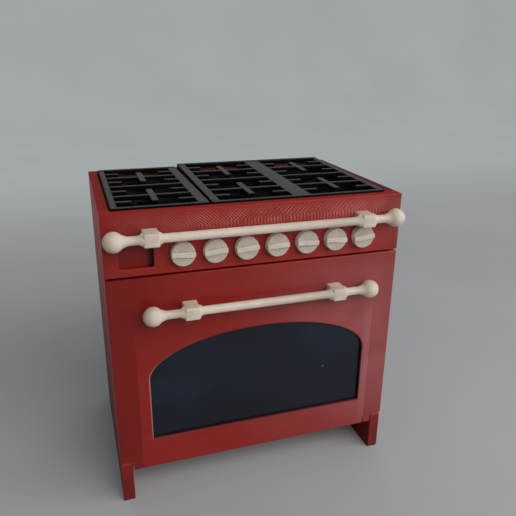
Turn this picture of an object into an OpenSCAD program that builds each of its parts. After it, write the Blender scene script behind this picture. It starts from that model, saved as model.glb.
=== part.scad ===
// Dolls' house range cooker, one twelfth full size, printed in plastic.
// Millimetres. Z is up, the front faces -Y, and the floor is Z = 0.
// The origin is the middle of the whole footprint, rails included, on the floor.

/* [Body] */
// Width of the body, and of the door
body_w = 75; // [70:0.5:84]
// Depth from the control panel's face to the back
body_d = 49.3; // [46:0.1:56]
// Height of the red rim round the hob
body_h = 78.2; // [76:0.1:84]
// Thickness of the sides where they run down as legs
leg_t = 3; // [2.2:0.1:3.4]
// Thickness of the sides beside the oven
side_t = 5.2; // [4.6:0.1:6]
// Thickness of the back
back_t = 3.5; // [2:0.1:5]
// Height of the space under the body
under_h = 9.4; // [8.6:0.1:10]
// Thickness of the oven's floor
floor_t = 2.8; // [2:0.1:4]
// Height of the lintel between the oven's mouth and the control panel
lintel_h = 2.4; // [1.6:0.1:4]

/* [Control panel] */
// Height of the control panel, rim included
panel_h = 15; // [14.4:0.1:17]
// Width of the blank recess beside the knobs
blank_w = 8; // [6:0.1:9]
// Height of the blank recess
blank_h = 6; // [4:0.1:6.6]
// Depth of the blank recess
blank_deep = 1.6; // [0.8:0.1:2.2]
// Corner radius of the blank recess
blank_r = 0.6; // [0.2:0.1:1.2]
// Distance from the body's left side to the blank recess
blank_in = 3.3; // [2.8:0.1:4]
// Height of the recess above the control panel's lower edge
blank_up = 1.9; // [1.4:0.1:2.4]

/* [Knobs] */
// Distance from the body's left side to the first knob
knob_left = 17.8; // [17:0.05:20]
// Distance from the body's right side to the last knob
knob_right = 11.05; // [9:0.05:12]
// Height of the knobs above the control panel's lower edge
knob_up = 4.8; // [4.2:0.1:5]
// Diameter of a knob
knob_dia = 5.7; // [4.6:0.1:5.8]
// Thickness of a knob's disc
knob_t = 1.7; // [1:0.1:2.2]
// Height of the raised bar on a knob
bar_h = 0.5; // [0.4:0.1:1.4]
// Width of the raised bar
bar_w = 1.3; // [0.9:0.1:1.8]
// Diameter of a knob's shaft
shaft_dia = 2.2; // [1.6:0.1:2.8]
// Length of a knob's shaft inside the control panel
shaft_l = 6; // [4:0.1:8]

/* [Door] */
// Thickness of the door
door_t = 4; // [3.4:0.1:5]
// Gap between the door's top and the control panel
door_seam = 0.5; // [0.3:0.1:0.8]
// Gap between the door's back and the body
door_back_gap = 0.3; // [0.2:0.05:0.6]
// Distance from the door's sides to the window opening
window_in = 8.35; // [7.5:0.05:12]
// Distance of the window's middle from the door's middle
window_x = 0.35; // [0:0.05:0.5]
// Height of the window's lower edge above the door's lower edge
window_up = 8.7; // [8:0.1:12]
// Distance from the door's top to the top of the window's arch
window_down = 16.55; // [15:0.05:20]
// Height of the window's arch
window_arch_h = 11; // [6:0.1:13]
// Depth of the window's reveal
reveal = 1; // [0.6:0.1:1.6]
// Thickness of the window panel
window_t = 1.2; // [0.8:0.1:1.6]
// How far the pocket that holds the window panel reaches past the window's sides
pocket_side = 2.65; // [1:0.05:2.9]
// How far the pocket reaches above the window's arch
pocket_up = 1.9; // [1:0.1:3]
// How far the pocket reaches below the window
pocket_down = 6.3; // [2:0.1:6.4]
// Width of the slit at the end of the right hinge pin's bore
slit_w = 0.3; // [0.2:0.1:0.8]
// Radius of the door's lower front edge
door_edge_r = 0.5; // [0.2:0.1:0.8]

/* [Hinge] */
// Diameter of the hinge pins
pin_dia = 1.2; // [1:0.1:1.4]
// Distance of the hinge axis behind the door's face
hinge_back = 1.4; // [1.3:0.05:1.5]
// Height of the hinge axis above the door's lower edge
hinge_up = 1.4; // [1.3:0.05:1.5]
// Radius of a foot's top round its pin
lug_r = 1.1; // [1:0.05:1.2]
// Gap between a foot and the door beside it
foot_gap = 0.4; // [0.3:0.1:0.8]
// Gap between a foot's top and the door's notch
notch_gap = 0.15; // [0.12:0.01:0.3]

/* [Rails] */
// Radius of a rail's rod
rod_r = 1.05; // [0.8:0.05:1.2]
// Radius of a rail's end balls
ball_r = 2.35; // [1.8:0.05:2.4]
// Distance of a rail's axis in front of the panel
rail_out = 3; // [2.7:0.1:3.6]
// Width of a bracket
bracket_w = 3.65; // [3:0.05:4.2]
// Height and depth of a bracket's square collar
bracket_h = 3.2; // [2.8:0.05:3.3]
// Chamfer on a bracket's front edges
bracket_chamfer = 0.35; // [0.2:0.05:0.6]
// Distance from the body's sides to the top rail's ball centres
top_rail_in = 2.8; // [2.8:0.1:6]
// Distance from a ball centre to the top rail's bracket
top_bracket_in = 8.1; // [6:0.1:11]
// Height of the top rail above the knobs' axis
top_rail_up = 4.8; // [4.7:0.05:5.2]
// Distance of the top rail's middle from the body's middle
top_rail_x = -0.4; // [-0.4:0.1:0]
// Distance from the door's sides to the door rail's ball centres
door_rail_in = 9.45; // [7:0.05:14]
// Distance from a ball centre to the door rail's bracket
door_bracket_in = 9.1; // [6:0.1:12]
// Distance of the door rail below the door's top
door_rail_down = 8.7; // [6:0.1:10]
// Distance of the door rail's middle from the body's middle
door_rail_x = 0.5; // [0:0.1:0.8]

/* [Hob] */
// Width of the rim at the left
rim_left = 2.4; // [2:0.1:3.4]
// Width of the rim at the right
rim_right = 3.1; // [2:0.1:3.4]
// Width of the rim at the front
rim_front = 2.8; // [2.4:0.1:3.2]
// Width of the rim at the back
rim_back = 1.2; // [1:0.1:2.5]
// Depth of the hob plate below the rim
hob_deep = 2.4; // [2.3:0.1:5]
// Thickness of the hob plate
hob_t = 1.5; // [1:0.1:2]
// Gap round the hob plate and the grates
hob_gap = 0.2; // [0.1:0.05:0.4]

/* [Grates] */
// Height of the grates above the rim
grate_up = 0.5; // [0.2:0.1:1]
// Thickness of a grate's bars from top to bottom
grate_t = 1.1; // [0.8:0.1:1.8]
// Width of the left grate's left band
left_outer_band = 1.7; // [1.2:0.1:2.6]
// Width of the left grate's right band
left_inner_band = 2.6; // [1.8:0.1:3]
// Gap between the left and the right grate
grate_gap = 0.6; // [0.3:0.05:1]
// Width of the right grate's left band
right_inner_band = 2.1; // [1.8:0.1:3]
// Width of the right grate's middle band
middle_band = 4.8; // [4:0.1:7]
// Width of the right grate's right band
right_outer_band = 1.8; // [1.2:0.1:3]
// Width of the cross bars and fingers
bar_t = 1.1; // [0.8:0.1:1.4]
// Width of a grate's back bar
back_bar_t = 1.9; // [1:0.1:3]
// Length of the short fingers
finger_l = 3.7; // [2.5:0.1:5]
// Width of the bar over each burner
burner_bar_t = 1.7; // [1.2:0.1:2.2]
// Width of a grate's corner feet
foot_size = 1.6; // [1:0.1:2]
// How much higher the left grate sits at its back
left_lift = 0; // [0:0.1:0.8]
// How much higher the right grate sits at its back
right_lift = 0.8; // [0:0.1:1]

/* [Burners] */
// Diameter of a burner's base
burner_dia = 10; // [8:0.1:12]
// Diameter of a burner's cap
cap_dia = 7.4; // [5:0.1:7.8]
// Height of a burner's base
burner_h = 0.8; // [0.5:0.1:1]
// Height of a burner's cap
cap_h = 0.5; // [0.3:0.1:0.6]

/* [Hidden] */

// Roundness of bores, shafts and balls
$fn = 64;
// Overshoot of a cut past the surface that it opens
cut = 1;
// Radial clearance of a turning shaft or pin in its bore
run_gap = 0.05;
// Gap between a knob's disc and the control panel, and past the end of its shaft
knob_gap = 0.15;
end_gap = 0.4;
// How far each knob is turned anticlockwise, in degrees
knob_turn = [-4, 5, 5, 3, -3, -4, 6];
knob_n = len(knob_turn);
// Gap between the window panel and its pocket
panel_fit = 0.1;
// Length of the cone between a rod and a bracket
cone_l = 0.9;
// The cone between a rod and a ball: its length, its wide radius, and where that meets the ball
neck_l = 1.3;
neck_r = 0.65 * ball_r;
neck_in = sqrt(ball_r * ball_r - neck_r * neck_r);

// How far the rails stand out in front of the control panel's face
rail_reach = rail_out + ball_r;
// The control panel's face, the body's back, and the body's face behind the door
front_y = (rail_reach - body_d) / 2;
back_y = front_y + body_d;
shell_y = front_y + door_t + door_back_gap;

panel_z = body_h - panel_h;
door_z = under_h;
door_top = panel_z - door_seam;
hinge_y = front_y + hinge_back;
hinge_z = door_z + hinge_up;
notch_z = hinge_z + lug_r + notch_gap;
tongue_w = body_w - 2 * (leg_t + foot_gap);
window_w = body_w - 2 * window_in;
window_z = door_z + window_up;
window_top = door_top - window_down;
arch_z = window_top - window_arch_h;
pocket_w = window_w + 2 * pocket_side;
pocket_z = window_z - pocket_down;
pocket_top = window_top + pocket_up;

oven_w = body_w - 2 * side_t;
oven_z = under_h + floor_t;
oven_top = panel_z - lintel_h;

hob_z = body_h - hob_deep;
hob_l = -body_w / 2 + rim_left;
hob_r = body_w / 2 - rim_right;
hob_y = front_y + rim_front;
hob_d = body_d - rim_front - rim_back;
plate_z = hob_z - hob_t;

grate_top = body_h + grate_up;
grate_z = grate_top - grate_t;
grate_y = hob_y + hob_gap;
grate_d = hob_d - 2 * hob_gap;
grate_mid_y = grate_y + grate_d / 2;
grate_l = hob_l + hob_gap;
grate_r = hob_r - hob_gap;
left_bands = left_outer_band + left_inner_band;
right_bands = right_inner_band + middle_band + right_outer_band;
// Columns of burners, the width of the opening over each, and the left edge of each opening
column_n = 3;
column_w = (grate_r - grate_l - left_bands - grate_gap - right_bands) / column_n;
column_l = [grate_l + left_outer_band, grate_l + left_bands + column_w + grate_gap + right_inner_band,
            grate_r - right_outer_band - column_w];
left_grate_r = column_l[0] + column_w + left_inner_band;
right_grate_l = left_grate_r + grate_gap;
// Equal steps from the front bar to the back one: bars on the even ones, fingers on the odd
bar_steps = 8;
bar_pitch = (grate_d - back_bar_t) / bar_steps;
bar_rows = [row(2), row(4), row(6)];
finger_rows = [row(1), row(3), row(5), row(7)];
burner_rows = [row(2), row(6)];

knob_pitch = (body_w - knob_left - knob_right) / (knob_n - 1);
knob_z = panel_z + knob_up;
bore_r = shaft_dia / 2 + run_gap;
top_rail_l = body_w - 2 * top_rail_in;
top_bracket_l = top_rail_l - 2 * top_bracket_in;
top_rail_z = knob_z + top_rail_up;
door_rail_l = body_w - 2 * door_rail_in;
door_bracket_l = door_rail_l - 2 * door_bracket_in;
door_rail_z = door_top - door_rail_down;

function knob_x(i) = knob_left - body_w / 2 + (i - 1) * knob_pitch;
function column(i) = column_l[i] + column_w / 2;
function row(step) = (bar_t - grate_d) / 2 + step * bar_pitch;

// A box from one corner to the other
module block(a, b) {
    translate(a) cube(b - a);
}

// A cylinder along X, from x0 to x1
module rod_x(x0, x1, y, z, r) {
    translate([x0, y, z]) rotate([0, 90, 0]) cylinder(h = x1 - x0, r = r);
}

// A cylinder along Y, from y0 to y1
module rod_y(x, y0, y1, z, r) {
    translate([x, y0, z]) rotate([-90, 0, 0]) cylinder(h = y1 - y0, r = r);
}

// One leg's outline seen from the side, with the lug round the hinge pin at its front
module leg_outline() {
    difference() {
        union() {
            translate([hinge_y - lug_r, 0]) square([back_y - hinge_y + lug_r, hinge_z]);
            translate([hinge_y, 0]) square([shell_y - hinge_y, hinge_z + lug_r]);
            translate([hinge_y, hinge_z]) circle(r = lug_r);
        }
        translate([hinge_y, hinge_z]) circle(r = pin_dia / 2);
    }
}

module leg(x0) {
    translate([x0, 0, 0]) rotate([90, 0, 90]) linear_extrude(height = leg_t) leg_outline();
}

// The rounded recess in the control panel
module blank_recess() {
    x0 = -body_w / 2 + blank_in;
    z0 = panel_z + blank_up;
    for (x = [x0 + blank_r, x0 + blank_w - blank_r], z = [z0 + blank_r, z0 + blank_h - blank_r])
        rod_y(x, front_y - cut, front_y + blank_deep, z, blank_r);
    for (inset = [[blank_r, 0], [0, blank_r]])
        block([x0 + inset[0], front_y - cut, z0 + inset[1]],
              [x0 + blank_w - inset[0], front_y + blank_deep, z0 + blank_h - inset[1]]);
}

module body() color("#7c2224") {
    half = body_w / 2;
    difference() {
        union() {
            block([-half, front_y, panel_z], [half, back_y, body_h]);
            block([-half, shell_y, under_h], [half, back_y, panel_z]);
            leg(-half);
            leg(half - leg_t);
        }
        // Oven
        block([-oven_w / 2, shell_y - cut, oven_z], [oven_w / 2, back_y - back_t, oven_top]);
        // Hob recess
        block([hob_l, hob_y, plate_z], [hob_r, hob_y + hob_d, body_h + cut]);
        blank_recess();
        for (i = [1:knob_n]) rod_y(knob_x(i), front_y - cut, front_y + shaft_l + end_gap, knob_z, bore_r);
    }
}

module hob_plate() color("#17181a") {
    block([grate_l, grate_y, plate_z], [grate_r, grate_y + grate_d, hob_z]);
}

// Burner 1 to 3 lie at the front from the left, 4 to 6 at the back
module burner(i) color("#202123") {
    row = floor((i - 1) / column_n);
    translate([column(i - 1 - column_n * row), grate_mid_y + burner_rows[row], hob_z]) {
        cylinder(h = burner_h, d = burner_dia);
        translate([0, 0, burner_h]) cylinder(h = cap_h, d = cap_dia);
    }
}

// Bars, fingers and burner bars across one column's opening, round its own middle
module column_bars() {
    half = column_w / 2;
    for (y = bar_rows) block([-half, y - bar_t / 2, 0], [half, y + bar_t / 2, grate_t]);
    for (y = finger_rows, x = [-half, half - finger_l])
        block([x, y - bar_t / 2, 0], [x + finger_l, y + bar_t / 2, grate_t]);
    for (y = burner_rows)
        block([-burner_bar_t / 2, y - bar_pitch - bar_t / 2, 0],
              [burner_bar_t / 2, y + bar_pitch + bar_t / 2, grate_t]);
}

// A pan support from x0 to x1 over the listed columns, its underside at Z = 0 and its middle at Y = 0.
// Its back feet are longer, to stand on the hob plate when the grate leans up by lift at its back.
module flat_grate(x0, x1, columns, lift) {
    difference() {
        block([x0, -grate_d / 2, 0], [x1, grate_d / 2, grate_t]);
        for (i = columns)
            block([column(i) - column_w / 2, bar_t - grate_d / 2, -cut],
                  [column(i) + column_w / 2, grate_d / 2 - back_bar_t, grate_t + cut]);
    }
    for (i = columns) translate([column(i), 0, 0]) column_bars();
    foot_h = grate_z - hob_z;
    for (x = [x0, x1 - foot_size]) {
        block([x, -grate_d / 2, -foot_h], [x + foot_size, foot_size - grate_d / 2, 0]);
        block([x, grate_d / 2 - foot_size, -foot_h - lift * (1 - foot_size / grate_d)],
              [x + foot_size, grate_d / 2, 0]);
    }
}

// A pan support in its place, turned about its front feet
module grate(x0, x1, columns, lift) {
    translate([0, grate_y, hob_z]) rotate([atan(lift / grate_d), 0, 0])
        translate([0, grate_d / 2, grate_z - hob_z]) flat_grate(x0, x1, columns, lift);
}

module left_grate() color("#2a2a2b") grate(grate_l, left_grate_r, [0], left_lift);

module right_grate() color("#2a2a2b") grate(right_grate_l, grate_r, [1, 2], right_lift);

// A rail along X, its middle at x, with two end balls and two brackets that reach back to the panel
module rail(x, z, ball_l, bracket_l) {
    h = bracket_h / 2;
    c = bracket_chamfer;
    translate([x, front_y - rail_out, z]) {
        rod_x(-ball_l / 2, ball_l / 2, 0, 0, rod_r);
        for (side = [-1, 1]) {
            translate([side * ball_l / 2, 0, 0]) {
                sphere(r = ball_r);
                rotate([0, -90 * side, 0]) translate([0, 0, neck_in])
                    cylinder(h = neck_l, r1 = neck_r, r2 = rod_r);
            }
            translate([side * bracket_l / 2, 0, 0]) {
                for (way = [-1, 1])
                    rotate([0, 90 * way, 0]) translate([0, 0, bracket_w / 2])
                        cylinder(h = cone_l, r1 = h, r2 = rod_r);
                translate([-bracket_w / 2, 0, 0]) rotate([90, 0, 90]) linear_extrude(height = bracket_w)
                    polygon([[rail_out, -h], [rail_out, h], [c - h, h],
                             [-h, h - c], [-h, c - h], [c - h, -h]]);
            }
        }
    }
}

module top_rail() color("#d8cdbb") rail(top_rail_x, top_rail_z, top_rail_l, top_bracket_l);

module door_rail() color("#d8cdbb") rail(door_rail_x, door_rail_z, door_rail_l, door_bracket_l);

// A knob with its shaft, turned a little
module knob(i) color("#cfc6b9") {
    r = knob_dia / 2;
    half = bar_w / 2;
    translate([knob_x(i), front_y - knob_gap, knob_z]) rotate([0, -knob_turn[i - 1], 0]) {
        rod_y(0, -knob_t, 0, 0, r);
        intersection() {
            rod_y(0, -knob_t - bar_h, 0, 0, r);
            block([-r, -knob_t - bar_h, -half], [r, 0, half]);
        }
        rod_y(0, 0, knob_gap + shaft_l, 0, shaft_dia / 2);
    }
}

// The right hinge pin, or the left one mirrored
module hinge_pin(side) color("#9a9b9d") {
    mirror([side, 0, 0]) rod_x(pocket_w / 2, body_w / 2, hinge_y, hinge_z, pin_dia / 2);
}

// The window opening's outline, square below and arched above
module window_outline() {
    half = window_w / 2;
    translate([-half, window_z]) square([window_w, arch_z - window_z]);
    intersection() {
        translate([0, arch_z]) scale([half, window_arch_h]) circle(r = 1);
        translate([-half, arch_z]) square([window_w, window_arch_h]);
    }
}

// The door's outline seen from the side, its lower front edge rounded and its lower back edge cut away
module door_side() {
    r = door_edge_r;
    intersection() {
        union() {
            translate([front_y, door_z + r]) square([door_t, door_top - door_z - r]);
            translate([front_y + r, door_z]) square([door_t - r, r]);
            translate([front_y + r, door_z + r]) circle(r = r);
        }
        union() {
            translate([front_y - cut, hinge_z]) square([door_t + 2 * cut, door_top - hinge_z]);
            translate([front_y - cut, door_z - cut]) square([hinge_back + cut, hinge_up + 2 * cut]);
            translate([hinge_y, hinge_z]) circle(r = door_t - hinge_back);
        }
    }
}

module door() color("#7c2224") {
    half = body_w / 2;
    difference() {
        translate([-half, 0, 0]) rotate([90, 0, 90]) linear_extrude(height = body_w) door_side();
        // Notches round the feet and pin bores
        for (side = [0, 1]) mirror([side, 0, 0]) {
            block([tongue_w / 2, front_y - cut, door_z - cut], [half + cut, front_y + door_t + cut, notch_z]);
            rod_x(pocket_w / 2 - slit_w / 2, tongue_w / 2 + cut, hinge_y, hinge_z, pin_dia / 2 + run_gap);
        }
        // Slit at the end of the right bore
        block([pocket_w / 2 - slit_w, front_y - cut, door_z - cut],
              [pocket_w / 2, front_y + door_t + cut, hinge_z + pin_dia / 2]);
        // Window opening and the pocket behind it
        translate([window_x, front_y + door_t + cut, 0]) rotate([90, 0, 0])
            linear_extrude(height = door_t + 2 * cut) window_outline();
        block([-pocket_w / 2, front_y + reveal, pocket_z],
              [pocket_w / 2, front_y + door_t + cut, pocket_top]);
    }
}

module window_panel() color("#1d2127") {
    half = pocket_w / 2 - panel_fit;
    block([-half, front_y + reveal, pocket_z + panel_fit],
          [half, front_y + reveal + window_t, pocket_top - panel_fit]);
}

body();
hob_plate();
burner(1);  // burner_1
burner(2);  // burner_2
burner(3);  // burner_3
burner(4);  // burner_4
burner(5);  // burner_5
burner(6);  // burner_6
left_grate();
right_grate();
top_rail();
knob(1);  // knob_1
knob(2);  // knob_2
knob(3);  // knob_3
knob(4);  // knob_4
knob(5);  // knob_5
knob(6);  // knob_6
knob(7);  // knob_7
hinge_pin(1);  // left_hinge_pin
hinge_pin(0);  // right_hinge_pin
door();
window_panel();
door_rail();
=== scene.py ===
from math import asin, cos, pi, radians, sin, sqrt

import bmesh
import bpy
from mathutils import Matrix, Vector


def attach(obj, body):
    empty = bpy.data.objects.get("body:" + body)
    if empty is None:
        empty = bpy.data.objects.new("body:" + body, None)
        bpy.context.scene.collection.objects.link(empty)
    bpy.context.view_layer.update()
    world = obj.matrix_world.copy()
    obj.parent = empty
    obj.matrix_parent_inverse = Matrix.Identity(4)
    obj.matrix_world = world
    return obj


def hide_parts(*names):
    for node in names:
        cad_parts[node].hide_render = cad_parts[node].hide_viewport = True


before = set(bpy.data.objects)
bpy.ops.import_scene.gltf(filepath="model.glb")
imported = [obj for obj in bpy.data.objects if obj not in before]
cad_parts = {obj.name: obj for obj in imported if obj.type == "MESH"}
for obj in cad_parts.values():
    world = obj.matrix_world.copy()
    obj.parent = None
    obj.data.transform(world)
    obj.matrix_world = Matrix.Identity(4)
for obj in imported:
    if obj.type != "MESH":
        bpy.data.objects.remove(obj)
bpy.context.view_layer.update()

# Body: the cooker's casing, one print with the control panel, the rim round the hob and two sides
# that run down to the floor as legs. It is red PLA, printed lying on its back, so the panel is the
# last layer laid down and every other face shows the edges of the layers.
MM = 0.001
FRONT, UP, LEFT = (0, -1, 0), (0, 0, 1), (-1, 0, 0)
EASED = {"interpolation_type": "SMOOTHSTEP"}


def linear(colour):
    """The linear colour of an sRGB hex value."""
    parts = [int(colour[i:i + 2], 16) / 255 for i in (1, 3, 5)]
    return (*(c / 12.92 if c <= 0.04045 else ((c + 0.055) / 1.055) ** 2.4 for c in parts), 1)


def add_node(tree, kind, feeds, out=0, **settings):
    """Adds a shader node with its settings, feeds its sockets numbers, hex colours or other nodes'
    outputs, and gives one of its own outputs."""
    made = tree.nodes.new("ShaderNode" + kind)
    for name, value in settings.items():
        setattr(made, name, value)
    for socket, feed in feeds.items():
        if isinstance(feed, bpy.types.NodeSocket):
            tree.links.new(feed, made.inputs[socket])
        else:
            made.inputs[socket].default_value = linear(feed) if isinstance(feed, str) else feed
    return made.outputs[out]


def new_material(name, finish):
    """A material of that finish, its node tree, its shader, and the place of a point on it."""
    material = bpy.data.materials.new(name)
    material.use_nodes = True
    tree = material.node_tree
    shader = tree.nodes["Principled BSDF"]
    for socket, value in finish.items():
        shader.inputs[socket].default_value = value
    return material, tree, shader, add_node(tree, "TexCoord", {}, "Object")


def feed_shader(shader, outputs):
    """Links outputs to the shader's sockets of those names."""
    for socket, output in outputs.items():
        shader.id_data.links.new(output, shader.inputs[socket])


def all_of(tree, first, *others):
    """Shares multiplied together: 1 where each of them is 1, 0 where one of them is 0."""
    for other in others:
        first = add_node(tree, "Math", {0: first, 1: other}, operation="MULTIPLY")
    return first


def total(tree, *parts):
    """Shares added up, each given with its weight."""
    added = 0
    for share, weight in parts:
        added = add_node(tree, "Math", {0: share, 1: weight, 2: added}, operation="MULTIPLY_ADD")
    return added


def coats(tree, ground, *layers):
    """A ground colour with layers over it, each a share and the colour that it lays on."""
    for share, colour in layers:
        ground = add_node(tree, "Mix", {0: share, 6: ground, 7: colour}, 2, data_type="RGBA")
    return ground


def grain(tree, where, size, detail=3):
    """Noise from 0 to 1 whose grains are so many millimetres wide along each axis."""
    sized = add_node(tree, "Mapping", {"Vector": where, "Scale": [1 / (s * MM) for s in size]})
    return add_node(tree, "TexNoise", {"Vector": sized, "Scale": 1, "Detail": detail,
                                       "Roughness": 0.55}, "Fac")


def patchy(tree, where, size, start, end, low=0, high=1, detail=3):
    """Patches of such noise: low where it is below start, high where it is above end."""
    noise = grain(tree, where, size, detail)
    return add_node(tree, "MapRange", {0: noise, 1: start, 2: end, 3: low, 4: high}, **EASED)


def wave(tree, where, across, pitch):
    """A wave from -1 to 1, its crests so many millimetres apart in the direction across."""
    turn = 2 * pi / (pitch * MM * sqrt(sum(c * c for c in across)))
    phase = add_node(tree, "VectorMath", {0: where, 1: [c * turn for c in across]}, "Value",
                     operation="DOT_PRODUCT")
    return add_node(tree, "Math", {0: phase}, operation="SINE")


def lines(tree, where, across, pitch, start, end):
    """Printed lines so far apart: such a wave, cut off flat at two heights."""
    crests = wave(tree, where, across, pitch)
    return add_node(tree, "MapRange", {0: crests, 1: start, 2: end}, **EASED)


def along(tree, where, axis, start, end, low=0, high=1):
    """A share that goes from low, at start, to high, at end, in millimetres along an axis."""
    at = add_node(tree, "SeparateXYZ", {0: where}, axis)
    return add_node(tree, "MapRange", {0: at, 1: start * MM, 2: end * MM, 3: low, 4: high},
                    **EASED)


def within(tree, where, soft, **limits):
    """1 between limits in millimetres along the named axes, going to 0 over a soft edge."""
    edges = [(axis, low - soft, low) for axis, (low, _) in limits.items()]
    edges += [(axis, high + soft, high) for axis, (_, high) in limits.items()]
    return all_of(tree, *(along(tree, where, *edge) for edge in edges))


def turned_to(tree, where, way, start, end):
    """A share that goes from 0 to 1 as a face turns to a way, by the cosine between the two."""
    cosine = add_node(tree, "VectorMath", {0: where.node.outputs["Normal"], 1: way}, "Value",
                      operation="DOT_PRODUCT")
    return add_node(tree, "MapRange", {0: cosine, 1: start, 2: end}, **EASED)


def cad_copy(node):
    """A bmesh of a CAD node, merged, each flat face in one piece."""
    bm = bmesh.new()
    bm.from_mesh(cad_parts[node].data)
    bmesh.ops.remove_doubles(bm, verts=bm.verts, dist=0.001 * MM)
    bmesh.ops.dissolve_limit(bm, angle_limit=radians(0.4), verts=bm.verts, edges=bm.edges)
    return bm


def round_edges(bm, edges, radius, segments):
    """Rounds edges by a radius in millimetres, and keeps the flat faces beside them flat."""
    made = set(bmesh.ops.bevel(bm, geom=edges, offset=radius * MM, offset_type="OFFSET",
                               segments=segments, profile=0.5, affect="EDGES",
                               material=-1)["faces"])
    for edge in {edge for face in made for edge in face.edges}:
        edge.smooth = all(face in made for face in edge.link_faces)


def soften(bm, radius, chosen=lambda middle: True, least=35, segments=2):
    """Rounds the outward edges that the nozzle leaves soft: those that turn by more than least
    degrees and that chosen picks by their middle, in millimetres."""
    round_edges(bm, [
        edge for edge in bm.edges
        if edge.is_manifold and edge.is_convex and edge.calc_face_angle() > radians(least)
        and chosen((edge.verts[0].co + edge.verts[1].co) / 2 / MM)], radius, segments)


def round_corners(bm, radius, sides, ends):
    """Rounds the upright edges that stand at those corners and reach the hob's height."""
    hob_height = 75
    corners = []
    for edge in bm.edges:
        a, b = (vert.co / MM for vert in edge.verts)
        upright = abs(b.z - a.z) > 0.9 * (b - a).length and max(a.z, b.z) > hob_height
        if (upright and any(abs(a.x - side) < 0.1 for side in sides)
                and any(abs(a.y - end) < 0.4 for end in ends)):
            corners.append(edge)
    round_edges(bm, corners, radius, 4)


def make_piece(name, bm, material, body, node):
    """Makes a bmesh a piece that rides on a body, has a material slot and stands for a CAD node."""
    for face in bm.faces:
        face.smooth = True
    for edge in bm.edges:
        if not edge.is_manifold or edge.calc_face_angle() > radians(32):
            edge.smooth = False
    mesh = bpy.data.meshes.new(name)
    bm.to_mesh(mesh)
    bm.free()
    mesh.materials.append(material)
    piece = bpy.data.objects.new(name, mesh)
    bpy.context.scene.collection.objects.link(piece)
    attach(piece, body)
    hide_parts(node)


# Printed red PLA: a satin plastic. Above the rail, the slanted lines of its last layer stand up as
# relief and carry painted glints, and the crossing lines of the layer below break them up. The
# lines are 0.42 mm wide and the layers 0.2 mm high, too fine to show, so they are drawn 1.3 to 2
# times and 1.9 times as coarse.
SLANTED_PITCH, CROSSING_PITCH = 0.53, 0.85
LAYER = 0.2 * 1.923
WANDER = 1.4 * MM
body_red, tree, shader, where = new_material("printed_red_pla", {"IOR": 1.46})
last_layer = turned_to(tree, where, FRONT, 0.8, 0.95)
other_faces = turned_to(tree, where, FRONT, 0.95, 0.8)
wavy = add_node(tree, "VectorMath", {
    0: grain(tree, where, (11.11, 11.11, 11.11)), 1: (WANDER, WANDER, WANDER), 2: where},
    operation="MULTIPLY_ADD")
broken = along(tree, where, "X", -26, 8, 0, 0.75)
crossing = lines(tree, wavy, (1, 0, -1), CROSSING_PITCH, -0.8, 0.8)
slanted = all_of(tree, lines(tree, wavy, (1, 0, 1), SLANTED_PITCH, -0.9, 1),
                 add_node(tree, "Mix", {0: broken, 2: 1, 3: crossing}))
upright = lines(tree, wavy, (1, 0, 0.1), CROSSING_PITCH, -0.7, 0.8)
near_rail = all_of(tree, broken, along(tree, where, "Z", 75.4, 74.4))
hatch = add_node(tree, "Mix", {0: near_rail, 2: slanted, 3: upright})
strip = all_of(tree, along(tree, where, "Z", 72.2, 74.4), along(tree, where, "Z", 78, 77.4),
               along(tree, where, "Z", 77.8, 75.8, 0.35, 1), along(tree, where, "X", -36.6, -33),
               along(tree, where, "X", -34, -8, 0.65, 1), along(tree, where, "X", 36, 29))
lined = all_of(tree, last_layer, add_node(tree, "MapRange", {0: strip, 3: 0.08, 4: 1}),
               patchy(tree, where, (3.846, 3.846, 3.846), 0.3, 0.65, 0.35, 1, detail=4))
line_relief_and_glints = all_of(tree, hatch, lined)
layers = all_of(tree, other_faces, grain(tree, where, (40, LAYER, 40), 4))

# The colour has painted shade between the lines, low down, low on the left side, on the rim behind
# the panel (most at the right) and at the panel's ends, and near-black painted shade in the hob's
# recess and the small blank recess. Painted light pales it high on the left side and on top faces,
# with painted sheen at the panel's right and a painted highlight on the rim's right edge.
patches = patchy(tree, where, (6.25, 6.25, 6.25), 0.3, 0.7)
top_face = turned_to(tree, where, UP, 0.6, 0.9)
left_side = turned_to(tree, where, LEFT, 0.7, 0.95)
low_left = all_of(tree, left_side, along(tree, where, "Z", 75, 15))
high_left = all_of(tree, left_side, along(tree, where, "Z", 15, 75))
# Painted light: paler high on the left side and a little on top faces.
painted_light = total(tree, (high_left, 1), (top_face, 0.12))
rim = all_of(tree, top_face, along(tree, where, "Y", -19, -17))
# Painted shade: between the glinting lines, on the rim, at the panel's ends, near the floor and low
# on the left side.
painted_shade = total(tree, (lined, 0.42), (all_of(tree, lined, line_relief_and_glints), -0.35), (rim, 0.25),
               (all_of(tree, rim, along(tree, where, "X", 20, 34)), 0.55),
               (all_of(tree, last_layer, along(tree, where, "X", 27, 38)), 0.4),
               (all_of(tree, last_layer, along(tree, where, "X", -18, -38)), 0.25),
               (along(tree, where, "Z", 12, 5), 0.3), (low_left, 0.35))
# Painted shade: near black in the hob's recess, its right wall darkest, and in the small blank
# recess.
in_recess = all_of(tree, within(tree, where, 0.3, X=(-35.3, 34.6), Y=(-19.4, 26.3)),
                   within(tree, where, 0.4, Z=(74, 77.6)))
recess_wall_shade = coats(tree, "#140304", (along(tree, where, "X", 34.2, 33.4), "#5a1315"))
blank_recess_shade = all_of(tree, along(tree, where, "X", -28.2, -26.5, 0.15, 0.95),
                  within(tree, where, 0.3, X=(-35, -25.9), Y=(-21.6, -20.2), Z=(64.6, 71.6)))
# Painted sheen: paler pink towards the panel's right end.
panel_sheen = all_of(tree, last_layer, along(tree, where, "X", 0, 26),
                    along(tree, where, "Z", 60, 74, 0, 0.17),
                    along(tree, where, "Z", 78, 75.8, 0.3, 1))
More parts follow.
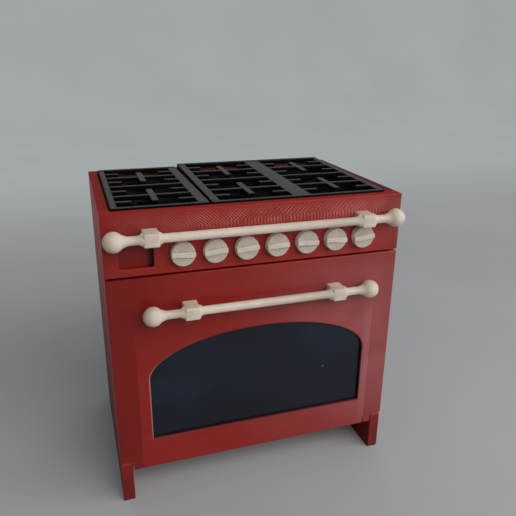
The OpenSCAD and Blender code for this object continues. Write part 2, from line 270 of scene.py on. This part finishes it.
# Painted glints: a pale highlight laid on the print lines, stronger to the right.
painted_glints = all_of(tree, line_relief_and_glints, along(tree, where, "X", -36, 6, 0.35, 0.95))
# Painted highlight along the rim's right top edge.
painted_edge_highlight = all_of(tree, turned_to(tree, where, (0.7, 0, 0.7), 0.75, 0.9),
                   along(tree, where, "X", 37, 37.2, 0, 0.8))
patchy_gloss = add_node(tree, "MapRange", {0: patches, 3: 0.46, 4: 0.56}, **EASED)
matt = total(tree, (top_face, 1), (last_layer, 0.4), (low_left, 0.8))
feed_shader(shader, {
    "Base Color": coats(tree, "#86160f", (patches, "#901b13"), (painted_light, "#b5302a"),
                        (painted_shade, "#460b0c"), (in_recess, recess_wall_shade), (blank_recess_shade, "#1c0204"),
                        (panel_sheen, "#b06a6c"), (painted_glints, "#c87068"), (painted_edge_highlight, "#d28a82")),
    "Roughness": total(tree, (patchy_gloss, 1), (top_face, 0.2)),
    "Specular IOR Level": add_node(tree, "MapRange", {0: matt, 3: 0.5, 4: 0.15}, **EASED),
    "Normal": add_node(tree, "Bump", {"Height": total(tree, (line_relief_and_glints, 1), (layers, 1)),
                                      "Distance": 0.07 * MM, "Strength": 0.8})})

RECESS_SIDES, RECESS_ENDS, RECESS_CORNER = (-35.1, 34.4), (-19.175, 26.125), 0.8
HINGE_Y, HINGE_Z, ROUND_HINGE = -20.575, 10.8, 0.8


def outer_edge(middle):
    """Whether an edge of the body is neither in the oven, round a bore, nor under the hob."""
    x, y, z = middle
    in_oven = y > -17.6 and z < 71 and abs(x) < 34.5
    at_bore = 66 < z < 70.2 and -21 < x < 28
    at_pin = (y - HINGE_Y) ** 2 + (z - HINGE_Z) ** 2 < ROUND_HINGE ** 2
    under_hob = 60 < z < 77 and y > -19.3 and abs(x) < 35.3
    return not (in_oven or at_bore or at_pin or under_hob)


casing = cad_copy("body")
round_corners(casing, RECESS_CORNER, RECESS_SIDES, RECESS_ENDS)
soften(casing, 0.2, outer_edge)
make_piece("casing", casing, body_red, "body", "body")

# Door: a red PLA slab that drops down on two pins, printed face down on a smooth bed, so its face
# is glossier than the panel's. It is thin in front of the window's pocket, whose sides show as
# faint upright lines. The bed's lines, 0.42 mm wide, are drawn 1.4 times as coarse.
BED_PITCH, POCKET_SIDE = 0.6, 31.8
door_red, tree, shader, where = new_material("red_pla_off_a_smooth_bed", {
    "IOR": 1.46, "Specular IOR Level": 0.38})
bed_face = turned_to(tree, where, FRONT, 0.8, 0.95)
other_faces = turned_to(tree, where, FRONT, 0.95, 0.8)
layers = all_of(tree, other_faces, grain(tree, where, (40, LAYER, 40), 4))
pocket_left, pocket_right = (
    within(tree, where, 0.27, X=(side - 0.05, side + 0.05)) for side in (-POCKET_SIDE, POCKET_SIDE))
pocket_lines = all_of(tree, along(tree, where, "Z", 49, 46), add_node(
    tree, "Math", {0: pocket_left, 1: pocket_right}, operation="MAXIMUM"))
height = total(tree, (layers, 1), (wave(tree, where, (1, 0, -1), BED_PITCH), 0.02),
               (pocket_lines, -0.12))

# The face is a deeper red at the left, a painted shade, and a little paler where it is thin, over
# the pocket. Painted sheen pales it to the right, most in a band beside the pocket. A painted
# highlight lies on the opening's edge at its left, and painted shade darkens its right side and
# sill.
patches = patchy(tree, where, (14.29, 14.29, 9.09), 0.3, 0.7)
thin = all_of(tree, bed_face, within(tree, where, 0.4, X=(-31.6, 31.6)),
              along(tree, where, "Z", 51, 42))
thin_red = coats(tree, "#821c16", (patches, "#8a201a"))
# The ground colour is painted shade at the left; this redder coat lies to the right of it.
unshaded_red = coats(tree, "#7e1913", (patches, "#861d17"))
# Painted sheen: paler to the right, most in a band beside the pocket.
door_sheen = all_of(tree, bed_face, along(tree, where, "X", -14, 34),
                within(tree, where, 22, Z=(24, 50)),
                add_node(tree, "MapRange", {0: patches, 3: 0.75, 4: 1}, **EASED))
pocket_sheen = all_of(tree, thin, along(tree, where, "X", 28.5, 31))
# Painted highlight on the left of the window opening's edge.
painted_edge_highlight = all_of(tree, turned_to(tree, where, (0.9, -0.4, -0.2), 0.5, 0.8),
                   within(tree, where, 0.5, X=(-29.6, -4)), 0.55)
sill = all_of(tree, turned_to(tree, where, UP, 0.2, 0.7),
              within(tree, where, 0.3, X=(-28.6, 29.4), Z=(17.6, 20)))
right_side = all_of(tree, turned_to(tree, where, LEFT, 0.3, 0.8),
                    within(tree, where, 0.3, X=(24, 30.2)))
in_shade = all_of(tree, add_node(tree, "Math", {0: sill, 1: right_side}, operation="MAXIMUM"), 0.75)
feed_shader(shader, {
    "Base Color": coats(tree, "#70100b", (patches, "#77140f"),
                        (along(tree, where, "X", -37, -12), unshaded_red), (thin, thin_red),
                        (total(tree, (pocket_sheen, 0.12), (door_sheen, 0.25)), "#ad8892"),
                        (painted_edge_highlight, "#c98d88"), (in_shade, "#2a0305")),
    "Roughness": add_node(tree, "MapRange", {0: patches, 3: 0.34, 4: 0.42}, **EASED),
    "Normal": add_node(tree, "Bump", {"Height": height, "Distance": 0.1 * MM,
                                      "Strength": 0.7})})


def window_edge(middle):
    """Whether an edge of the door is on the window opening's front."""
    x, y, z = middle
    return y < -21.9 and abs(x - 0.35) < 29.3 and 18 < z < 46.3


def door_edge(middle):
    """Whether an edge of the door is on its outside, away from the pins and the slits."""
    x, y, z = middle
    return y < -18.5 and (z > 12 or abs(x) < 31) and not window_edge(middle)


front_door = cad_copy("door")
soften(front_door, 0.4, window_edge, least=50, segments=4)
soften(front_door, 0.22, door_edge)
make_piece("oven_door", front_door, door_red, "door", "door")

# Window: a satin black sheet let into the back of the door, behind the arched opening. It is cast
# acrylic, rubbed a little dull in faint clouds that are also painted paler as a soft reflection,
# and a speck of dust lies on it.
DUST_SPECK = Vector((18.4, -21, 30.5)) * MM
window_dark, tree, shader, where = new_material("satin_black_acrylic", {"IOR": 1.42})
clouds_and_sheen = patchy(tree, where, (28.57, 28.57, 16.67), 0.35, 0.7, detail=2)
from_speck = add_node(tree, "VectorMath", {0: where, 1: DUST_SPECK}, "Value",
                      operation="DISTANCE")
dust = add_node(tree, "MapRange", {0: from_speck, 1: 0.35 * MM, 2: 0.1 * MM, 4: 0.3}, **EASED)
feed_shader(shader, {
    # The clouds' paler colour is a painted reflection; their roughness is the real dullness.
    "Base Color": coats(tree, "#0c121e", (clouds_and_sheen, "#151e2d"), (dust, "#8a8d90")),
    "Roughness": add_node(tree, "MapRange", {0: clouds_and_sheen, 3: 0.15, 4: 0.22}, **EASED)})
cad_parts["window_panel"].data.materials.clear()
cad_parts["window_panel"].data.materials.append(window_dark)

# Hinge pins: two short lengths of 1.2 mm steel wire, pushed through the feet into the door, their
# ends cut square and a little rounded. Drawn wire is dull grey, and the fine lines along it are
# drawn 0.17 mm wide, several times as coarse, to show.
DRAW_LINE = 0.16667
wire, tree, shader, where = new_material("drawn_steel_wire", {"Metallic": 1.0})
draw_lines = grain(tree, where, (8.333, DRAW_LINE, DRAW_LINE))
feed_shader(shader, {
    "Base Color": coats(tree, "#5a5c5e", (draw_lines, "#7c7e80")),
    "Roughness": add_node(tree, "MapRange", {0: draw_lines, 1: 0.3, 2: 0.7, 3: 0.38, 4: 0.52},
                          **EASED)})
for side in ("left", "right"):
    pin = cad_copy(f"{side}_hinge_pin")
    soften(pin, 0.12)
    make_piece(f"{side}_wire_pin", pin, wire, "body", f"{side}_hinge_pin")

# Rails: two cream PLA rails, each a rod with end balls and two square collars that reach back to
# the panel or the door, printed in one. PLA this pale lets a little light in, so its shade is
# warm, and the edges of its layers show as a faint unevenness.
cream_pla, tree, shader, where = new_material("printed_cream_pla", {
    "IOR": 1.46, "Subsurface Weight": 0.12, "Subsurface Radius": (1.0, 0.6, 0.35),
    "Subsurface Scale": 0.6 * MM})
mottle = patchy(tree, where, (3.125, 3.125, 3.125), 0.3, 0.7)
layers = grain(tree, where, (16.67, 16.67, LAYER))
feed_shader(shader, {
    "Base Color": coats(tree, "#c3b8ac", (mottle, "#ccc1b5")),
    "Roughness": add_node(tree, "MapRange", {0: mottle, 3: 0.45, 4: 0.58}, **EASED),
    "Normal": add_node(tree, "Bump", {"Height": layers, "Distance": 0.05 * MM,
                                      "Strength": 0.5})})
BALL_R, NECK_R, ROD_R, COLLAR_R = 2.35 * MM, 1.5275 * MM, 1.05 * MM, 1.6 * MM
NECK_IN, NECK_L, COLLAR_W, CONE_L = 1.786 * MM, 1.3 * MM, 3.65 * MM, 0.9 * MM
RAIL_Y, PANEL_Y, COLLAR_EDGE = -24.975 * MM, -21.975 * MM, 0.4 * MM
BALL_STEPS, ROUND_STEPS = 20, 48


def rail_outline(ball, collar):
    """Half a rail's outline from its middle out, as distances along its axis and off it."""
    near, far = collar - COLLAR_W / 2, collar + COLLAR_W / 2
    outline = [(0, ROD_R), (near - CONE_L, ROD_R), (near, COLLAR_R), (far, COLLAR_R),
               (far + CONE_L, ROD_R), (ball - NECK_IN - NECK_L, ROD_R), (ball - NECK_IN, NECK_R)]
    at_neck = pi - asin(NECK_R / BALL_R)
    turns = [at_neck * (1 - step / BALL_STEPS) for step in range(1, BALL_STEPS + 1)]
    return outline + [(ball + BALL_R * cos(turn), BALL_R * sin(turn)) for turn in turns]


def rail_form(middle, height, ball, collar):
    """A bmesh of a rail: its outline spun about its axis, and a rounded block for each collar."""
    half = rail_outline(ball, collar)
    outline = [(-x, r) for x, r in reversed(half)] + half[1:]
    rail = bmesh.new()
    points = [rail.verts.new((middle + x, RAIL_Y, height + r)) for x, r in outline]
    line = [rail.edges.new(pair) for pair in zip(points, points[1:])]
    bmesh.ops.spin(rail, geom=points + line, cent=(middle, RAIL_Y, height), axis=(1, 0, 0),
                   angle=2 * pi, steps=ROUND_STEPS, use_merge=True)
    bmesh.ops.remove_doubles(rail, verts=rail.verts, dist=0.001 * MM)
    depth = PANEL_Y - RAIL_Y + COLLAR_R
    size = Matrix.Diagonal((COLLAR_W, depth, 2 * COLLAR_R, 1))
    for side in (-1, 1):
        place = Matrix.Translation((middle + side * collar, PANEL_Y - depth / 2, height))
        block = bmesh.ops.create_cube(rail, size=1, matrix=place @ size)["verts"]
        off_panel = {edge for vert in block for edge in vert.link_edges
                     if (edge.verts[0].co + edge.verts[1].co).y / 2 < PANEL_Y - 0.01 * MM}
        bmesh.ops.bevel(rail, geom=list(off_panel), offset=COLLAR_EDGE, offset_type="OFFSET",
                        segments=4, profile=0.5, affect="EDGES", material=-1)
    bmesh.ops.recalc_face_normals(rail, faces=rail.faces)
    return rail


top_rail = rail_form(-0.4 * MM, 72.8 * MM, 34.7 * MM, 26.6 * MM)
make_piece("hob_rail", top_rail, cream_pla, "body", "top_rail")
door_rail = rail_form(0.5 * MM, 54 * MM, 28.05 * MM, 18.95 * MM)
make_piece("door_handle", door_rail, cream_pla, "door", "door_rail")

# Knobs: seven cream PLA discs with a raised bar across and a shaft behind, printed face up. They
# are a little greyer than the rails and paler on the bar, and painted light pales them round the
# side.
# The face's lines, 0.42 mm wide, run along the bar and are drawn 1.3 times as coarse.
FACE_PITCH, DISC_FRONT = 0.55, -23.95
knob_pla, tree, shader, where = new_material("grey_cream_pla", {
    "IOR": 1.46, "Subsurface Weight": 0.08, "Subsurface Radius": (1.0, 0.6, 0.35),
    "Subsurface Scale": 0.5 * MM})
mottle = patchy(tree, where, (2, 2, 2), 0.3, 0.7)
bar = along(tree, where, "Y", DISC_FRONT, DISC_FRONT - 0.2)
bar_cream = coats(tree, "#bdb5ab", (mottle, "#c7bfb5"))
# Painted light: the disc's side made paler.
disc_side_light = all_of(tree, turned_to(tree, where, FRONT, 0.6, 0.2),
                   along(tree, where, "Y", DISC_FRONT, DISC_FRONT + 0.25))
face_lines = lines(tree, where, UP, FACE_PITCH, -0.7, 0.8)
feed_shader(shader, {
    "Base Color": coats(tree, "#aaa197", (mottle, "#b5aca2"), (bar, bar_cream),
                        (disc_side_light, "#ded6cb")),
    "Roughness": add_node(tree, "MapRange", {0: mottle, 3: 0.5, 4: 0.65}, **EASED),
    "Normal": add_node(tree, "Bump", {"Height": face_lines, "Distance": 0.05 * MM,
                                      "Strength": 0.5})})
for number in range(1, 8):
    knob = cad_copy(f"knob_{number}")
    soften(knob, 0.18, least=50)
    make_piece(f"burner_knob_{number}", knob, knob_pla, f"knob_{number}",
               f"knob_{number}")

# Hob: a black PLA plate in the recess, with six low round burners stuck on it. Both are dull black
# and stay in the shade of the grates, so little more than their outlines shows between the bars.
# Their lines, 0.42 mm wide, are drawn 1.4 times as coarse.
HOB_PITCH = 0.6
GRATE_SIDES, GRATE_ENDS, GRATE_CORNER = (-34.9, 34.2), (-18.975, 25.925), 0.75
hob_black, tree, shader, where = new_material("printed_black_pla", {
    "IOR": 1.46, "Specular IOR Level": 0.08})
mottle = patchy(tree, where, (3.333, 3.333, 3.333), 0.3, 0.7)
hob_lines = lines(tree, where, (1, 1, 0), HOB_PITCH, -0.7, 0.8)
feed_shader(shader, {
    "Base Color": coats(tree, "#010101", (mottle, "#030303")),
    "Roughness": add_node(tree, "MapRange", {0: mottle, 3: 0.65, 4: 0.8}, **EASED),
    "Normal": add_node(tree, "Bump", {"Height": hob_lines, "Distance": 0.05 * MM,
                                      "Strength": 0.6})})
plate = cad_copy("hob_plate")
round_corners(plate, GRATE_CORNER, GRATE_SIDES, GRATE_ENDS)
soften(plate, 0.2)
make_piece("hob_floor", plate, hob_black, "body", "hob_plate")
for number in range(1, 7):
    burner = cad_copy(f"burner_{number}")
    soften(burner, 0.2)
    make_piece(f"burner_head_{number}", burner, hob_black, "body",
               f"burner_{number}")

# Grates: two loose pan supports, each one black PLA print. Their tops are the last layer, speckled
# line-wide and given a painted grey sheen where they catch the light, cooler to the right, with
# painted shade on the back bar; the nozzle leaves their edges rounded. On the left one's outer bar,
# two of its lines, 0.42 mm wide, are drawn 1.9 times as coarse.
BAR_PITCH, SPECKLE, TOP_EDGES = 0.8, 0.41667, 77.9
grate_black, tree, shader, where = new_material("black_pla_last_layer", {"IOR": 1.46})
top_face = turned_to(tree, where, UP, 0.6, 0.95)
speckle = patchy(tree, where, (SPECKLE, SPECKLE, SPECKLE), 0.4, 0.68, detail=2)
layers = grain(tree, where, (16.67, 16.67, LAYER))
outer_lines = all_of(tree, within(tree, where, 0.3, X=(-34, -33.2)),
                     lines(tree, where, (1, 0, 0), BAR_PITCH, -0.3, 0.8), 0.8)
# Painted shade on the back bar, together with the outer bar's darker print lines.
back_shade_and_outer_lines = add_node(tree, "Math", {0: along(tree, where, "Y", 21, 25), 1: outer_lines},
                       operation="MAXIMUM")
cool_top_sheen = coats(tree, "#1a1b1e", (speckle, "#393c42"))
# Painted sheen: the tops' grey, cooler to the right.
top_sheen = coats(tree, "#1f1c1a", (speckle, "#443e3b"),
                 (along(tree, where, "X", 12, 22), cool_top_sheen), (back_shade_and_outer_lines, "#151414"))
catches_light = all_of(tree, top_face, along(tree, where, "Y", 21, 25, 1, 0.2))
height = add_node(tree, "Mix", {0: top_face, 2: layers, 3: speckle})
feed_shader(shader, {
    "Base Color": coats(tree, "#010102", (speckle, "#040406"), (top_face, top_sheen)),
    "Roughness": add_node(tree, "MapRange", {0: speckle, 3: 0.42, 4: 0.58}, **EASED),
    "Specular IOR Level": add_node(tree, "MapRange", {0: catches_light, 3: 0.08, 4: 0.5},
                                   **EASED),
    "Normal": add_node(tree, "Bump", {"Height": height, "Distance": 0.08 * MM,
                                      "Strength": 0.7})})
for side in ("left", "right"):
    grate = cad_copy(f"{side}_grate")
    round_corners(grate, GRATE_CORNER, GRATE_SIDES, GRATE_ENDS)
    soften(grate, 0.25, lambda middle: middle.z > TOP_EDGES)
    make_piece(f"{side}_pan_support", grate, grate_black, f"{side}_grate",
               f"{side}_grate")

# Studio: a sheet of matt pale paper that lies flat and curves up into a backdrop, its sizes given
# in metres. Away from the cooker it glows evenly in place of being lit, so it stays the same pale
# grey as the lit floor.
paper_grey, tree, shader, where = new_material("matt_pale_paper", {"Roughness": 0.9})
paper = patchy(tree, where, (111.1, 111.1, 111.1), 0.3, 0.7)
far_off = along(tree, where, "Y", 60, 400)
feed_shader(shader, {
    "Base Color": coats(tree, "#a6abb1", (paper, "#abb0b5"), (far_off, "#0a0a0a")),
    "Emission Color": coats(tree, "#9da2a3", (paper, "#a1a5a7")),
    "Emission Strength": far_off})
HALF_WIDTH, BEFORE, BEHIND, CURVE_R, TALL, CURVE_STEPS = 1.6, 0.9, 0.55, 0.35, 1.6, 12
turns = [radians(90 * step / CURVE_STEPS) for step in range(CURVE_STEPS + 1)]
curve = [(0, CURVE_R * (sin(b) - sin(a)), CURVE_R * (cos(a) - cos(b)))
         for a, b in zip(turns, turns[1:])]
sheet = bmesh.new()
ends = [sheet.verts.new((x, -BEFORE, 0)) for x in (-HALF_WIDTH, HALF_WIDTH)]
last_edge = [sheet.edges.new(ends)]
for pull in [(0, BEFORE + BEHIND, 0), *curve, (0, 0, TALL)]:
    made = bmesh.ops.extrude_edge_only(sheet, edges=last_edge)["geom"]
    moved = [part for part in made if isinstance(part, bmesh.types.BMVert)]
    bmesh.ops.translate(sheet, verts=moved, vec=pull)
    last_edge = [part for part in made if isinstance(part, bmesh.types.BMEdge)
                 and all(vert in moved for vert in part.verts)]
bmesh.ops.recalc_face_normals(sheet, faces=sheet.faces)
sheet_mesh = bpy.data.meshes.new("studio_floor")
sheet.to_mesh(sheet_mesh)
sheet.free()
sheet_mesh.materials.append(paper_grey)
sheet_mesh.shade_smooth()
floor = bpy.data.objects.new("studio_floor", sheet_mesh)
bpy.context.scene.collection.objects.link(floor)

# Lights: a large soft window of light from the front, a second one from the right, weak ones from
# the left and from above and behind, and an even grey world. Each is a square lamp aimed at AIM and
# given as degrees right of the front, degrees up, metres off, metres wide, watts and its colour.
AIM = Vector((0, 0, 0.04))
for name, azimuth, elevation, distance, width, power, colour in (
        ("window_light", 14, 36, 0.7, 0.5, 2.95, "#fff8f0"),
        ("side_light", 62, 20, 0.7, 0.4, 2.3, "#fbfaf8"),
        ("fill_light", -65, 35, 0.8, 0.6, 0.35, "#fff8f0"),
        ("ceiling_light", 150, 65, 0.9, 0.9, 0.8, "#fff8f0")):
    light = bpy.data.lights.new(name, "AREA")
    light.size, light.energy, light.color = width, power, linear(colour)[:3]
    lamp = bpy.data.objects.new(name, light)
    a, e = radians(azimuth), radians(elevation)
    way = Vector((sin(a) * cos(e), -cos(a) * cos(e), sin(e)))
    lamp.location = AIM + way * distance
    lamp.rotation_euler = way.to_track_quat("Z", "Y").to_euler()
    bpy.context.scene.collection.objects.link(lamp)
world = bpy.data.worlds.new("studio")
world.use_nodes = True
background = world.node_tree.nodes["Background"]
background.inputs["Color"].default_value = linear("#dbdad6")
background.inputs["Strength"].default_value = 0.18
bpy.context.scene.world = world
bpy.context.scene.view_settings.view_transform = "Standard"

# Camera: where the photograph was taken from, 16 cm off and a little above the hob, as found from
# the perspective of the casing's and the door's corners.
lens = bpy.data.cameras.new("camera")
lens.lens, lens.sensor_width, lens.clip_start = 39.07, 36, 0.01
camera = bpy.data.objects.new("camera", lens)
camera.location = (-41.974 * MM, -143.003 * MM, 111.619 * MM)
camera.rotation_euler = (radians(69.8068), radians(-0.6281), radians(-18.3972))
bpy.context.scene.collection.objects.link(camera)
bpy.context.scene.camera = camera
